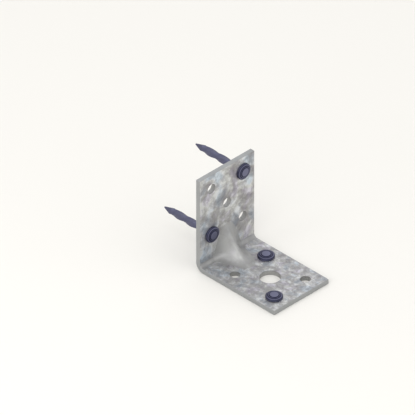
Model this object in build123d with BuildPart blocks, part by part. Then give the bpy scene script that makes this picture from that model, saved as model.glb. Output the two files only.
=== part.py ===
"""Ribbed angle bracket with four square-shank nails in place, millimetres.

The origin is the centre of the bolt hole on the underside of the base flange.
+Z points up along the wall flange, and +X points away from it.
"""

import os
from math import asin, atan2, cos, degrees, hypot, radians, sin

from build123d import *

# Angle: leg lengths are outside sizes.
leg = 50.0
width = 35.0
sheet = 2.5
bend_inner_radius = 2.0
edge_break = 0.15

# Holes: rows are measured from the outside face of the other flange.
nail_hole_diameter = 5.0
bolt_hole_diameter = 10.0
bolt_setback = 30.0
near_row = 17.5
middle_row = 30.0
hole_margin = 7.5
far_row = leg - hole_margin
row_spread = width - 2 * hole_margin

# Rib: its crest is an arc that leaves each flange at rib_reach.
rib_reach = 18.7
rib_crest = 8.8
rib_foot_width = 16.5
rib_foot_growth = 0.5
rib_back_crest = 2.7
rib_back_narrower = 3.2
rib_bury = 0.4
rib_root = 0.7
rib_overrun = 1.6
rib_foot_crease = 0.3
rib_steps = [0.0, 0.12, 0.3, 0.5, 0.7, 0.88, 1.0]

# Nail: square shank with a round neck and a pyramid point.
nail_length = 30.0
nail_neck_diameter = 3.75
nail_neck_length = 5.0
nail_square = 2.9
nail_point_length = 4.5
nail_point_size = 0.6
head_diameter = 8.0
head_rim = 1.05
head_crown = 1.5
head_crown_diameter = 5.9
head_boss_diameter = 4.3
head_boss = 0.2

wall_back = -bolt_setback
wall_face = wall_back + sheet
bend_outer_radius = bend_inner_radius + sheet

# The crest arc passes rib_reach up one flange, the middle of the corner and
# rib_reach along the other flange, so its centre lies on the corner's diagonal.
arc_setback = (sheet**2 + rib_reach**2 - 2 * rib_crest**2) / (
    2 * (sheet + rib_reach - 2 * rib_crest)
)
arc_radius = hypot(arc_setback - sheet, arc_setback - rib_reach)
arc_centre = (wall_back + arc_setback, 0, arc_setback)
reach_angle = degrees(asin((arc_setback - rib_reach) / arc_radius))

# Rows and sides of the four corner holes, the same on both flanges.
corner_holes = [
    (row, side) for row in (near_row, far_row) for side in (-row_spread / 2, row_spread / 2)
]
wall_plane = Plane((wall_back, 0, 0), x_dir=(0, 1, 0), z_dir=(1, 0, 0))

# Half of the rib's cross-section, as shares of its half width and height:
# the crest's edge, the foot of the straight flank, and the flared foot.
crest_edge = (0.11, 0.923)
flank_foot = (0.40, 0.437)
flare_points = [(0.57, 0.199), (0.80, 0.068)]


def face_distance(angle, depth):
    """Distance from the crest's centre to the face that is depth inside the outside faces."""
    lean = min(angle, 90 - angle)
    to_face = arc_setback - depth
    to_bend = arc_setback - bend_outer_radius
    if lean <= degrees(atan2(to_bend, to_face)):
        return to_face / cos(radians(lean))
    to_centre = to_bend * 2**0.5
    beside = to_centre * sin(radians(45 - lean))
    beyond = ((bend_outer_radius - depth) ** 2 - beside**2) ** 0.5
    return to_centre * cos(radians(45 - lean)) + beyond


def draw_rib_section(angle, crest_radius, depth, narrower):
    """One cross-section of the rib, in a plane through the axis of its crest arc."""
    root = face_distance(angle, depth) + rib_bury
    height = root - crest_radius
    half = (rib_foot_width + rib_foot_growth * height - narrower) / 2

    def point(share, side):
        return (side * half * share[0], root - height * share[1])

    outward = (-cos(radians(angle)), 0, -sin(radians(angle)))
    plane = Plane(
        origin=arc_centre,
        x_dir=(0, 1, 0),
        z_dir=Vector(0, 1, 0).cross(Vector(*outward)),
    )
    with BuildSketch(plane) as section:
        with BuildLine():
            ThreePointArc(
                point(crest_edge, -1), (0, crest_radius), point(crest_edge, 1)
            )
            for side in (-1, 1):
                flank = Line(point(crest_edge, side), point(flank_foot, side))
                flare = [point(share, side) for share in flare_points]
                foot = (side * half, root)
                Spline(
                    flank @ 1,
                    *flare,
                    foot,
                    tangents=[flank % 1, (side, rib_foot_crease * height / half)],
                )
                Line(foot, (side * half, root + rib_root))
            Line((-half, root + rib_root), (half, root + rib_root))
        make_face()
    return section.sketch


def rib_sections(crest_radius, depth, narrower):
    """Cross-sections from above the rib's top end to beyond its other end."""
    first = reach_angle - rib_overrun
    upper = [first + (45 - first) * step for step in rib_steps]
    angles = upper + [90 - angle for angle in reversed(upper[:-1])]
    return [draw_rib_section(a, crest_radius, depth, narrower) for a in angles]


with BuildPart() as bracket:
    with BuildSketch(Plane.XZ):
        with BuildLine():
            Polyline(
                (wall_back, 0),
                (wall_back + leg, 0),
                (wall_back + leg, sheet),
                (wall_face, sheet),
                (wall_face, leg),
                (wall_back, leg),
                close=True,
            )
        make_face()
    extrude(amount=width / 2, both=True)
    corner_edges = bracket.edges().filter_by(Axis.Y)
    fillet(corner_edges.sort_by_distance((wall_back, 0, 0))[0], bend_outer_radius)
    corner_edges = bracket.edges().filter_by(Axis.Y)
    fillet(corner_edges.sort_by_distance((wall_face, 0, sheet))[0], bend_inner_radius)
    cut_faces = bracket.faces().filter_by(Axis.Y)
    cut_faces += [bracket.faces().sort_by(Axis.Z)[-1], bracket.faces().sort_by(Axis.X)[-1]]
    chamfer(cut_faces.edges(), edge_break)

    loft(rib_sections(arc_radius, sheet, 0))
    loft(
        rib_sections(arc_radius + rib_back_crest, 0, rib_back_narrower),
        mode=Mode.SUBTRACT,
    )

    with BuildSketch(Plane.XY):
        with Locations(*[(wall_back + row, side) for row, side in corner_holes]):
            Circle(nail_hole_diameter / 2)
        Circle(bolt_hole_diameter / 2)
    extrude(amount=sheet, mode=Mode.SUBTRACT)
    with BuildSketch(wall_plane):
        with Locations(*[(side, row) for row, side in corner_holes], (0, middle_row)):
            Circle(nail_hole_diameter / 2)
    extrude(amount=sheet, mode=Mode.SUBTRACT)

with BuildPart() as nail:
    with BuildSketch(Plane.XZ):
        with BuildLine():
            Polyline(
                (0, -nail_neck_length),
                (nail_neck_diameter / 2, -nail_neck_length),
                (nail_neck_diameter / 2, 0),
                (head_diameter / 2, 0),
                (head_diameter / 2, head_rim),
                (head_crown_diameter / 2, head_crown),
                (head_boss_diameter / 2, head_crown),
                (head_boss_diameter / 2, head_crown + head_boss),
                (0, head_crown + head_boss),
                close=True,
            )
        make_face()
    revolve(axis=Axis.Z)
    with BuildSketch(Plane.XY.offset(-nail_neck_length)):
        Rectangle(nail_square, nail_square)
    extrude(amount=nail_neck_length - nail_length)
    end_face = nail.faces().sort_by(Axis.Z)[0]
    chamfer(
        end_face.edges(),
        length=(nail_square - nail_point_size) / 2,
        length2=nail_point_length,
        reference=end_face,
    )

os.makedirs("parts", exist_ok=True)
bracket.part.label = "bracket"
export_step(bracket.part, "parts/bracket.step")

# Each nail's head seats on the flange's inside face, over its hole's centre.
nail_seats = {
    "wall_nail_upper": Plane((wall_face, row_spread / 2, far_row), (0, 1, 0), (1, 0, 0)),
    "wall_nail_lower": Plane((wall_face, -row_spread / 2, near_row), (0, 1, 0), (1, 0, 0)),
    "base_nail_inner": Plane((wall_back + near_row, row_spread / 2, sheet)),
    "base_nail_outer": Plane((wall_back + far_row, -row_spread / 2, sheet)),
}
for name, seat in nail_seats.items():
    placed = nail.part.moved(seat.location)
    placed.label = name
    export_step(placed, f"parts/{name}.step")
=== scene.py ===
"""Finishes, lights and frames a ribbed angle bracket and its twist nails, in metres."""

import bpy
import numpy as np
from bpy.props import FloatProperty, FloatVectorProperty, PointerProperty
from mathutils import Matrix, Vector


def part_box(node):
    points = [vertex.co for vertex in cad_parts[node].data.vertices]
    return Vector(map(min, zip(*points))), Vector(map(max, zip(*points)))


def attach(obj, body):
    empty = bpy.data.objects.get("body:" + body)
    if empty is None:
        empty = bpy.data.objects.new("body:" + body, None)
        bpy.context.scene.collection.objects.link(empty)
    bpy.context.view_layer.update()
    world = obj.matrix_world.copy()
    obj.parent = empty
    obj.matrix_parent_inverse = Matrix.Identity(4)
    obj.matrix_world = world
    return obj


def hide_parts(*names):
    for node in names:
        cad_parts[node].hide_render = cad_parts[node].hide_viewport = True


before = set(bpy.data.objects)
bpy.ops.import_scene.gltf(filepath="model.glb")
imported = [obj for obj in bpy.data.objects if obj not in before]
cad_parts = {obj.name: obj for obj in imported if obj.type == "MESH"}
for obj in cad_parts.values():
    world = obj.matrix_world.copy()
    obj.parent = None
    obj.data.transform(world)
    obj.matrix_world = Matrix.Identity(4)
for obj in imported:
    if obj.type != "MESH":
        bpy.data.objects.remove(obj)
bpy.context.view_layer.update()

bl_info = {
    "name": "Ribbed angle bracket",
    "version": (1, 0, 0),
    "blender": (4, 5, 0),
    "location": "View3D > Sidebar > Bracket",
    "description": "Finishes a galvanised angle bracket and makes its twist nails",
    "category": "Object",
}

MM = 0.001

NAIL_NODES = [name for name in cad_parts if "nail" in name]

# The wall flange's back, the base flange's tip, half the width, and the wall flange's top.
(WALL_BACK, _, _), (TIP, HALF_WIDTH, TOP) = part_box("bracket")


def linear(hex_colour):
    """An sRGB hex colour as linear red, green, blue and alpha."""
    srgb = np.array([int(hex_colour[i : i + 2], 16) / 255 for i in (1, 3, 5)])
    low, high = srgb / 12.92, ((srgb + 0.055) / 1.055) ** 2.4
    return (*np.where(srgb <= 0.04045, low, high).tolist(), 1.0)


def add_node(tree, kind, inputs=None, stops=(), **settings):
    """Adds a shader node with its settings and links.

    Each input takes a value or the socket that feeds it, and stops are a ramp's places and
    colours.
    """
    node = tree.nodes.new(kind)
    for name, value in settings.items():
        setattr(node, name, value)
    for name, value in (inputs or {}).items():
        if isinstance(value, bpy.types.NodeSocket):
            tree.links.new(value, node.inputs[name])
        else:
            node.inputs[name].default_value = value
    for index, (place, colour) in enumerate(stops):
        if index == len(node.color_ramp.elements):
            node.color_ramp.elements.new(place)
        node.color_ramp.elements[index].position = place
        node.color_ramp.elements[index].color = colour
    return node


class GalvanisedSheet(bpy.types.PropertyGroup):
    sheet: FloatProperty(
        name="Sheet",
        description="Thickness of the sheet",
        default=2.5 * MM,
        unit="LENGTH",
    )
    wall_cloud: FloatProperty(
        name="Wall cloud",
        description="Size of a cloud in the zinc of the wall flange",
        default=9 * MM,
        unit="LENGTH",
    )
    base_cloud: FloatProperty(
        name="Base cloud",
        description="Size of a cloud in the zinc of the base flange",
        default=3.4 * MM,
        unit="LENGTH",
    )
    wall_shift: FloatVectorProperty(
        name="Wall shift",
        description="How far the wall flange's clouds are moved",
        default=(80 * MM, -47.5 * MM, 184.5 * MM),
        subtype="TRANSLATION",
        unit="LENGTH",
    )
    base_shift: FloatVectorProperty(
        name="Base shift",
        description="How far the base flange's clouds are moved",
        default=(-188.25 * MM, -268.75 * MM, 0),
        subtype="TRANSLATION",
        unit="LENGTH",
    )
    wall_film: FloatProperty(
        name="Wall film",
        description="Size of a patch of tinted film on the wall flange",
        default=9 * MM,
        unit="LENGTH",
    )
    base_film: FloatProperty(
        name="Base film",
        description="Size of a patch of tinted film on the base flange",
        default=4 * MM,
        unit="LENGTH",
    )
    wall_tint: FloatProperty(
        name="Wall tint",
        description="Strength of the film's tint on the wall flange",
        default=0.85,
        subtype="FACTOR",
        min=0.0,
        max=1.0,
    )
    base_tint: FloatProperty(
        name="Base tint",
        description="Strength of the film's tint on the base flange",
        default=0.7,
        subtype="FACTOR",
        min=0.0,
        max=1.0,
    )
    light_zinc: FloatVectorProperty(
        name="Light zinc",
        description="Zinc where a cloud is lightest",
        default=linear("#dfe1e3"),
        subtype="COLOR",
        size=4,
    )
    zinc: FloatVectorProperty(
        name="Zinc",
        description="Zinc between light and dark",
        default=linear("#b7b7b9"),
        subtype="COLOR",
        size=4,
    )
    dark_zinc: FloatVectorProperty(
        name="Dark zinc",
        description="Zinc where a cloud is darkest",
        default=linear("#9b9a9d"),
        subtype="COLOR",
        size=4,
    )
    blue_film: FloatVectorProperty(
        name="Blue film",
        description="Blue tint that multiplies the zinc",
        default=linear("#eaf3fa"),
        subtype="COLOR",
        size=4,
    )
    warm_film: FloatVectorProperty(
        name="Warm film",
        description="Warm tint that multiplies the zinc",
        default=linear("#f8f7f0"),
        subtype="COLOR",
        size=4,
    )
    violet_film: FloatVectorProperty(
        name="Violet film",
        description="Violet tint that multiplies the zinc",
        default=linear("#f6f1f9"),
        subtype="COLOR",
        size=4,
    )
    pressed_zinc: FloatVectorProperty(
        name="Pressed zinc",
        description="Zinc on the rib, the bend and the holes' walls",
        default=linear("#a8a8a7"),
        subtype="COLOR",
        size=4,
    )
    cut_edge: FloatVectorProperty(
        name="Cut edge",
        description="Sheet's cut edges",
        default=linear("#aaacad"),
        subtype="COLOR",
        size=4,
    )


class TwistNails(bpy.types.PropertyGroup):
    length: FloatProperty(
        name="Length",
        description="Length under the head",
        default=30 * MM,
        unit="LENGTH",
    )
    neck: FloatProperty(
        name="Neck",
        description="Diameter of the round neck",
        default=3.75 * MM,
        unit="LENGTH",
    )
    neck_length: FloatProperty(
        name="Neck length",
        description="Length of the round neck",
        default=5 * MM,
        unit="LENGTH",
    )
    square: FloatProperty(
        name="Square",
        description="Width across the flats of the shank",
        default=2.9 * MM,
        unit="LENGTH",
    )
    point: FloatProperty(
        name="Point",
        description="Length of the point",
        default=4.5 * MM,
        unit="LENGTH",
    )
    twist: FloatProperty(
        name="Twist",
        description="Turn of the square shank along its length",
        default=np.radians(240),
        unit="ROTATION",
    )
    coat_patch: FloatProperty(
        name="Coat patch",
        description="Size of a patch in the coat",
        default=1.2 * MM,
        unit="LENGTH",
    )
    # The nail's own coat colour, where no painted shade lies.
    light_coat: FloatVectorProperty(
        name="Rubbed coat",
        description="Coat where it is rubbed",
        default=linear("#75768d"),
        subtype="COLOR",
        size=4,
    )
    # Painted shade: the dark colour laid into the head's grooves, along its rim's top edge and
    # under it, and mixed a little into its side and shank as a darker tone.
    dark_coat_and_shade: FloatVectorProperty(
        name="Kept coat",
        description="Coat that the grooves protect",
        default=linear("#28293f"),
        subtype="COLOR",
        size=4,
    )


class PaleStage(bpy.types.PropertyGroup):
    floor: FloatVectorProperty(
        name="Floor",
        description="Colour of the floor",
        default=linear("#f1efea"),
        subtype="COLOR",
        size=4,
    )
    floor_reach: FloatProperty(
        name="Floor reach",
        description="How far the floor goes to each side",
        default=3.0,
        unit="LENGTH",
    )
    floor_gap: FloatProperty(
        name="Floor gap",
        description="How far the floor lies below the base flange",
        default=0.02 * MM,
        unit="LENGTH",
    )
    daylight: FloatProperty(
        name="Daylight",
        description="Strength of the white light all round",
        default=0.77,
    )
    lens: FloatProperty(
        name="Lens",
        description="Focal length in millimetres, long enough to keep parallel lines parallel",
        default=1500.0,
    )
    view_width: FloatProperty(
        name="View width",
        description="Width that the camera sees at the bracket",
        default=187.87 * MM,
        unit="LENGTH",
    )


# A Mix node's factor is input 0. Its numbers are inputs 2 and 3 and output 0, and its colours
# are inputs 6 and 7 and output 2.


def zinc_cloud(tree, place, on_wall, steel):
    """How light the zinc is, from 0 to 1, with larger clouds on the wall flange than on the base.

    A noise of scale 1 / size has clouds of about that size. A shift picks the place in the noise
    that comes nearest to the flange's own marks.
    """
    clouds = []
    for shift, size, detail, roughness in (
        (steel.base_shift, steel.base_cloud, 5.0, 0.7),
        (steel.wall_shift, steel.wall_cloud, 6.0, 0.68),
    ):
        shifted = add_node(
            tree, "ShaderNodeMapping", {"Vector": place, "Location": shift}
        ).outputs["Vector"]
        noise = {
            "Vector": shifted,
            "Scale": 1 / size,
            "Detail": detail,
            "Roughness": roughness,
            "Distortion": 0.3,
        }
        clouds.append(add_node(tree, "ShaderNodeTexNoise", noise).outputs["Fac"])
    base, wall = clouds
    # The wall flange's clouds have more contrast than the base flange's.
    wall = add_node(
        tree, "ShaderNodeMapRange", {"Value": wall, "From Min": 0.14, "From Max": 0.8}
    ).outputs["Result"]
    return add_node(tree, "ShaderNodeMix", {0: on_wall, 2: base, 3: wall}).outputs[0]


def filmed_zinc(tree, place, on_wall, cloud, steel):
    """The zinc's colour: grey by its clouds, times the tint of films in patches of their own.

    White on the films' ramp leaves the zinc as it is.
    """
    zinc = add_node(
        tree,
        "ShaderNodeValToRGB",
        {"Fac": cloud},
        stops=((0.31, steel.dark_zinc), (0.49, steel.zinc), (0.67, steel.light_zinc)),
    ).outputs["Color"]
    patch_scale = add_node(
        tree,
        "ShaderNodeMix",
        {0: on_wall, 2: 1 / steel.base_film, 3: 1 / steel.wall_film},
    ).outputs[0]
    patches = add_node(
        tree, "ShaderNodeTexNoise", {"Vector": place, "Scale": patch_scale, "Detail": 3.0}
    ).outputs["Fac"]
    film = add_node(
        tree,
        "ShaderNodeValToRGB",
        {"Fac": patches},
        stops=(
            (0.36, steel.blue_film),
            (0.46, linear("#ffffff")),
            (0.54, steel.warm_film),
            (0.64, steel.violet_film),
        ),
    ).outputs["Color"]
    tint = add_node(
        tree, "ShaderNodeMix", {0: on_wall, 2: steel.base_tint, 3: steel.wall_tint}
    ).outputs[0]
    return add_node(
        tree,
        "ShaderNodeMix",
        {0: tint, 6: zinc, 7: film},
        data_type="RGBA",
        blend_type="MULTIPLY",
    ).outputs[2]


def pressed_share(tree, place, steel):
    """How plain the press has left the zinc, on the rib, on the bend and in the holes.

    Those are off the large faces of both flanges. The distance from a flange's nearer face is
    the distance from the sheet's middle, less half the sheet, without its sign, and the lesser
    of the two flanges' distances counts. The zinc turns plain within 0.03 mm of leaving a face.
    """
    from_face = place
    for operation, shift in (
        ("SUBTRACT", (WALL_BACK + steel.sheet / 2, 0, steel.sheet / 2)),
        ("ABSOLUTE", (0, 0, 0)),
        ("SUBTRACT", (steel.sheet / 2, 0, steel.sheet / 2)),
        ("ABSOLUTE", (0, 0, 0)),
    ):
        from_face = add_node(
            tree, "ShaderNodeVectorMath", {0: from_face, 1: shift}, operation=operation
        ).outputs["Vector"]
    flanges = add_node(tree, "ShaderNodeSeparateXYZ", {"Vector": from_face}).outputs
    lesser = add_node(
        tree, "ShaderNodeMath", {0: flanges["X"], 1: flanges["Z"]}, operation="MINIMUM"
    ).outputs[0]
    return add_node(
        tree,
        "ShaderNodeMapRange",
        {"Value": lesser, "From Min": 0.002 * MM, "From Max": 0.03 * MM, "To Max": 0.8},
        interpolation_type="SMOOTHSTEP",
    ).outputs["Result"]


def cut_share(tree, axes):
    """How bare the sheet is at its cut edges.

    It counts how far a point is past the outline's sides, tip or top, whichever is greatest,
    and starts just inside the outline, where the edges are broken.
    """
    side = add_node(tree, "ShaderNodeMath", {0: axes["Y"]}, operation="ABSOLUTE").outputs[0]
    past_side, past_tip, past_top = (
        add_node(tree, "ShaderNodeMath", {0: along, 1: end}, operation="SUBTRACT").outputs[0]
        for along, end in ((side, HALF_WIDTH), (axes["X"], TIP), (axes["Z"], TOP))
    )
    past = add_node(
        tree, "ShaderNodeMath", {0: past_side, 1: past_tip}, operation="MAXIMUM"
    ).outputs[0]
    past = add_node(
        tree, "ShaderNodeMath", {0: past, 1: past_top}, operation="MAXIMUM"
    ).outputs[0]
    return add_node(
        tree,
        "ShaderNodeMapRange",
        {"Value": past, "From Min": -0.12 * MM, "From Max": -0.02 * MM, "To Max": 0.8},
        interpolation_type="SMOOTHSTEP",
    ).outputs["Result"]


def galvanised_steel(steel):
    """Hot-dip galvanised sheet steel, cut and pressed after its dip.

    The eye gets a dull silvery metal with soft cloudy spangle and faint blue, warm and violet
    films. The zinc is plainer where the press has stretched it, and the cut edges are plain
    too. The light clouds are smoother and stand a little proud.
    """
    material = bpy.data.materials.new("galvanised_steel")
    material.use_nodes = True
    tree = material.node_tree
    tree.nodes.clear()
    place = add_node(tree, "ShaderNodeTexCoord").outputs["Object"]
    axes = add_node(tree, "ShaderNodeSeparateXYZ", {"Vector": place}).outputs
    # The wall flange's zinc starts where the sheet has risen out of its bend.
    on_wall = add_node(
        tree,
        "ShaderNodeMapRange",
        {"Value": axes["Z"], "From Min": steel.sheet, "From Max": 2 * steel.sheet},
        interpolation_type="SMOOTHSTEP",
    ).outputs["Result"]
    cloud = zinc_cloud(tree, place, on_wall, steel)
    colour = filmed_zinc(tree, place, on_wall, cloud, steel)
    for share, plain in (
        (pressed_share(tree, place, steel), steel.pressed_zinc),
        (cut_share(tree, axes), steel.cut_edge),
    ):
        colour = add_node(
            tree, "ShaderNodeMix", {0: share, 6: colour, 7: plain}, data_type="RGBA"
        ).outputs[2]
    roughness = add_node(
        tree, "ShaderNodeMapRange", {"Value": cloud, "To Min": 0.72, "To Max": 0.5}
    ).outputs["Result"]
    normal = add_node(
        tree, "ShaderNodeBump", {"Height": cloud, "Strength": 0.12, "Distance": 0.05 * MM}
    ).outputs["Normal"]
    surface = add_node(
        tree,
        "ShaderNodeBsdfPrincipled",
        {"Base Color": colour, "Metallic": 1.0, "Roughness": roughness, "Normal": normal},
    ).outputs["BSDF"]
    add_node(tree, "ShaderNodeOutputMaterial", {"Surface": surface})
    return material


def sherardised_steel(nails):
    """Sherardised steel, baked in zinc dust.

    The eye gets a dull blue-grey powdery coat. Painted shade darkens it in the head's grooves,
    along the top edge of its rim and under it, and a darker tone lies on its side and shank.
    """
    material = bpy.data.materials.new("sherardised_steel")
    material.use_nodes = True
    tree = material.node_tree
    tree.nodes.clear()
    place = add_node(tree, "ShaderNodeTexCoord").outputs["Object"]
    # The coat is a little lighter or darker in patches. Its grain, of some 0.05 mm, is too fine
    # to show.
    patches = add_node(
        tree,
        "ShaderNodeTexNoise",
        {"Vector": place, "Scale": 1 / nails.coat_patch, "Detail": 3.0},
    ).outputs["Fac"]
    patch = add_node(
        tree, "ShaderNodeMapRange", {"Value": patches, "To Min": -0.12, "To Max": 0.12}
    ).outputs["Result"]
    # The dark share is painted shade in the head's grooves, along its rim's top edge and under
    # it, and a darker tone on the head's side and the shank.
    dark_share = add_node(tree, "ShaderNodeAttribute", attribute_name="dark_coat_and_shade").outputs["Fac"]
    coat = add_node(
        tree, "ShaderNodeMath", {0: dark_share, 1: patch}, operation="ADD", use_clamp=True
    ).outputs[0]
    colour = add_node(
        tree,
        "ShaderNodeMix",
        {0: coat, 6: nails.light_coat, 7: nails.dark_coat_and_shade},
        data_type="RGBA",
    ).outputs[2]
    surface = add_node(
        tree,
        "ShaderNodeBsdfPrincipled",
        {"Base Color": colour, "Metallic": 1.0, "Roughness": 0.5},
    ).outputs["BSDF"]
    add_node(tree, "ShaderNodeOutputMaterial", {"Surface": surface})
    return material


# The head from its crown to its underside: height over the seat and radius in millimetres, and
# the share of the dark colour, which is painted shade in the grooves, along the rim's top edge
# and under the head. The crown has a raised middle inside a ring.
HEAD_PROFILE = (
    (1.70, 0.60, 0.00),
    (1.70, 1.94, 0.00),
    (1.68, 2.06, 0.45),
    (1.60, 2.14, 1.00),
    (1.48, 2.18, 1.00),
    (1.44, 2.34, 1.00),
    (1.48, 2.48, 0.70),
    (1.50, 2.56, 0.35),
    (1.51, 2.72, 0.35),
    (1.50, 2.82, 0.80),
    (1.42, 2.92, 1.00),
    (1.35, 3.08, 1.00),
    (1.36, 3.20, 0.60),
    (1.32, 3.32, 0.25),
    (1.24, 3.60, 0.25),
    (1.16, 3.80, 0.60),
    (1.08, 3.94, 1.00),
    (0.98, 4.00, 0.80),
    (0.86, 4.00, 0.40),
    (0.20, 4.00, 0.40),
    (0.04, 3.96, 1.00),
    (0.00, 3.84, 1.00),
    (0.00, 2.00, 0.60),
)
SHANK_COAT = 0.3

# How finely the nail is divided, and how square its round and its square rings are.
SHANK_RINGS = 56
POINT_RINGS = 8
RING_SEGMENTS = 64
ROUND, SQUARE = 2.0, 9.0


def nail_rings(nails):
    """The nail as rings from the top of its head to its tip.

    Each ring has a height, a radius, a share of the dark colour (painted shade on the head), a
    squareness and a turn. The turn grows evenly along the shank. The neck becomes square over the
    first twelfth of the shank, and the point's radius falls evenly to a fifth at its tip.
    """
    head = np.array(HEAD_PROFILE) * (MM, MM, 1)
    head = np.column_stack([head, np.full(len(head), ROUND), np.zeros(len(head))])
    neck = np.array(
        [
            (height, nails.neck / 2, SHANK_COAT, ROUND, 0.0)
            for height in (-0.1 * MM, -nails.neck_length)
        ]
    )
    share = np.linspace(0, 1, SHANK_RINGS)[1:]
    squared = np.minimum(12 * share, 1)
    point_start = nails.point - nails.length
    shank = np.column_stack(
        [
            -nails.neck_length + share * (point_start + nails.neck_length),
            (nails.neck + (nails.square - nails.neck) * squared) / 2,
            np.full(len(share), SHANK_COAT),
            ROUND + (SQUARE - ROUND) * squared,
            share * nails.twist,
        ]
    )
    taper = np.linspace(0, 1, POINT_RINGS)[1:]
    point = np.column_stack(
        [
            point_start - taper * nails.point,
            nails.square / 2 * (1 - 0.8 * taper),
            np.full(len(taper), SHANK_COAT),
            np.full(len(taper), SQUARE),
            np.full(len(taper), nails.twist),
        ]
    )
    return np.vstack([head, neck, shank, point])


def nail_mesh(name, nails, seat, along, across):
    """One closed skin round the nail's axis.

    On a ring of radius r, squareness n and turn t, the point at the angle a lies at a + t and
    at the distance r / (|cos a|^n + |sin a|^n)^(1/n), a circle where n is 2 and a square with
    rounded corners where it is 9. Quads join ring to ring, and a fan closes each end.
    """
    rings = nail_rings(nails)
    height, radius, _, squareness, turn = (column[:, None] for column in rings.T)
    angle = np.linspace(0, 2 * np.pi, RING_SEGMENTS, endpoint=False)
    reach = np.abs(np.cos(angle)) ** squareness + np.abs(np.sin(angle)) ** squareness
    distance = radius / reach ** (1 / squareness)
    points = (
        seat
        + (distance * np.cos(angle + turn))[..., None] * across
        + (distance * np.sin(angle + turn))[..., None] * np.cross(along, across)
        + (height * np.ones_like(angle))[..., None] * along
    )
    ends = seat + np.outer(height[[0, -1], 0], along)
    vertices = np.vstack([points.reshape(-1, 3), ends])

    here = np.arange(RING_SEGMENTS)
    after = np.roll(here, -1)
    first = np.arange(len(rings) - 1)[:, None] * RING_SEGMENTS
    corners = (here, here + RING_SEGMENTS, after + RING_SEGMENTS, after)
    quads = np.stack([first + corner for corner in corners], axis=-1).reshape(-1, 4)
    last = (len(rings) - 1) * RING_SEGMENTS
    crown, tip = (np.full_like(here, len(vertices) - back) for back in (2, 1))
    fans = np.vstack(
        [
            np.column_stack([crown, here, after]),
            np.column_stack([last + after, last + here, tip]),
        ]
    )

    mesh = bpy.data.meshes.new(name)
    mesh.from_pydata(vertices.tolist(), [], quads.tolist() + fans.tolist())
    mesh.shade_smooth()
    # Each point's share of the dark colour: painted shade in the head's grooves, along its rim's
    # top edge and under it, and a darker tone on the side and shank.
    coat = np.append(np.repeat(rings[:, 2], RING_SEGMENTS), rings[[0, -1], 2])
    mesh.attributes.new("dark_coat_and_shade", "FLOAT", "POINT").data.foreach_set(
        "value", coat.astype(np.float32)
    )
    return mesh


class BRACKET_OT_sheet(bpy.types.Operator):
    """Galvanises the bent and ribbed sheet"""

    bl_idname = "bracket.sheet"
    bl_label = "Galvanise sheet"

    def execute(self, context):
        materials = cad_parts["bracket"].data.materials
        materials.clear()
        materials.append(galvanised_steel(context.scene.galvanised_sheet))
        return {"FINISHED"}


class BRACKET_OT_nails(bpy.types.Operator):
    """Makes the seated twist nails, each in its node's place"""

    bl_idname = "bracket.nails"
    bl_label = "Make nails"

    def execute(self, context):
        nails = context.scene.twist_nails
        coat = sherardised_steel(nails)
        for node in NAIL_NODES:
            # A nail is longest along its axis, and its point is at its box's low end.
            low, high = (np.array(corner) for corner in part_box(node))
            axis = np.argmax(high - low)
            along, across = np.eye(3)[axis], np.eye(3)[(axis + 1) % 3]
            seat = (low + high) / 2
            seat[axis] = low[axis] + nails.length
            mesh = nail_mesh(node + "_twisted", nails, seat, along, across)
            mesh.materials.append(coat)
            piece = bpy.data.objects.new(node + "_twisted", mesh)
            context.scene.collection.objects.link(piece)
            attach(piece, "root")
            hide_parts(node)
        return {"FINISHED"}


# Soft lamps round the bracket: place from its middle and size, in metres, and power in watts.
LAMPS = {
    "key": ((0.07, -0.455, 0.455), 0.6, 1.8),
    "fill": ((0.56, 0.175, 0.315), 0.8, 0.7),
    "back": ((-0.35, 0.35, 0.42), 0.8, 0.8),
}

# What the camera looks at and which way: an even isometric from above, into the angle.
VIEW_CENTRE = Vector((-33.7, -6.4, 27.3)) * MM
VIEW_DIRECTION = Vector((-1, 1, -1))


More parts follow.
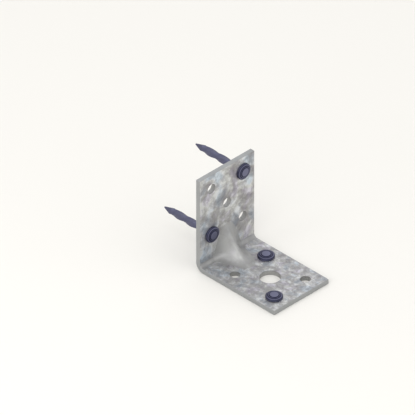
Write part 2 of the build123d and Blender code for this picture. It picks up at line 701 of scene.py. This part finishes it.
class BRACKET_OT_stage(bpy.types.Operator):
    """Makes the pale floor, the soft light and the camera"""

    bl_idname = "bracket.stage"
    bl_label = "Set stage"

    def execute(self, context):
        scene, stage = context.scene, context.scene.pale_stage
        scene.view_settings.view_transform = "Standard"

        mesh = bpy.data.meshes.new("floor")
        reach = stage.floor_reach
        corners = ((-reach, -reach), (reach, -reach), (reach, reach), (-reach, reach))
        mesh.from_pydata([(x, y, -stage.floor_gap) for x, y in corners], [], [(0, 1, 2, 3)])
        paper = bpy.data.materials.new("floor_paper")
        paper.use_nodes = True
        paper.node_tree.nodes.clear()
        surface = add_node(
            paper.node_tree,
            "ShaderNodeBsdfPrincipled",
            {"Base Color": stage.floor, "Roughness": 0.9},
        ).outputs["BSDF"]
        add_node(paper.node_tree, "ShaderNodeOutputMaterial", {"Surface": surface})
        mesh.materials.append(paper)
        floor = bpy.data.objects.new("floor", mesh)
        scene.collection.objects.link(floor)

        world = bpy.data.worlds.new("studio")
        world.use_nodes = True
        world.node_tree.nodes.clear()
        sky = add_node(
            world.node_tree,
            "ShaderNodeBackground",
            {"Color": linear("#ffffff"), "Strength": stage.daylight},
        ).outputs["Background"]
        add_node(world.node_tree, "ShaderNodeOutputWorld", {"Surface": sky})
        scene.world = world

        middle = Vector(((WALL_BACK + TIP) / 2, 0, TOP / 2))
        for name, (offset, size, watts) in LAMPS.items():
            light = bpy.data.lights.new(name, "AREA")
            light.size, light.energy = size, watts
            lamp = bpy.data.objects.new(name, light)
            lamp.location = middle + Vector(offset)
            lamp.rotation_euler = (-Vector(offset)).to_track_quat("-Z", "Y").to_euler()
            scene.collection.objects.link(lamp)

        lens = bpy.data.cameras.new("camera")
        lens.lens = stage.lens
        distance = stage.view_width * stage.lens / lens.sensor_width
        lens.clip_start, lens.clip_end = distance / 2, distance * 2
        lens.dof.use_dof = False
        camera = bpy.data.objects.new("camera", lens)
        camera.location = VIEW_CENTRE - VIEW_DIRECTION.normalized() * distance
        camera.rotation_euler = VIEW_DIRECTION.to_track_quat("-Z", "Y").to_euler()
        scene.collection.objects.link(camera)
        scene.camera = camera
        return {"FINISHED"}


class BRACKET_PT_panel(bpy.types.Panel):
    """The bracket's sizes, colours and steps"""

    bl_idname = "BRACKET_PT_panel"
    bl_label = "Angle bracket"
    bl_space_type = "VIEW_3D"
    bl_region_type = "UI"
    bl_category = "Bracket"

    def draw(self, context):
        for name, group in GROUPS.items():
            for setting in group.__annotations__:
                self.layout.prop(getattr(context.scene, name), setting)
        for operator in OPERATORS:
            self.layout.operator(operator.bl_idname)


GROUPS = {
    "galvanised_sheet": GalvanisedSheet,
    "twist_nails": TwistNails,
    "pale_stage": PaleStage,
}
OPERATORS = (BRACKET_OT_sheet, BRACKET_OT_nails, BRACKET_OT_stage)
CLASSES = (*GROUPS.values(), *OPERATORS, BRACKET_PT_panel)


def register():
    for cls in CLASSES:
        bpy.utils.register_class(cls)
    for name, group in GROUPS.items():
        setattr(bpy.types.Scene, name, PointerProperty(type=group))


def unregister():
    for name in GROUPS:
        delattr(bpy.types.Scene, name)
    for cls in reversed(CLASSES):
        bpy.utils.unregister_class(cls)


def main():
    register()
    bpy.ops.bracket.sheet()
    bpy.ops.bracket.nails()
    bpy.ops.bracket.stage()


if __name__ == "__main__":
    main()
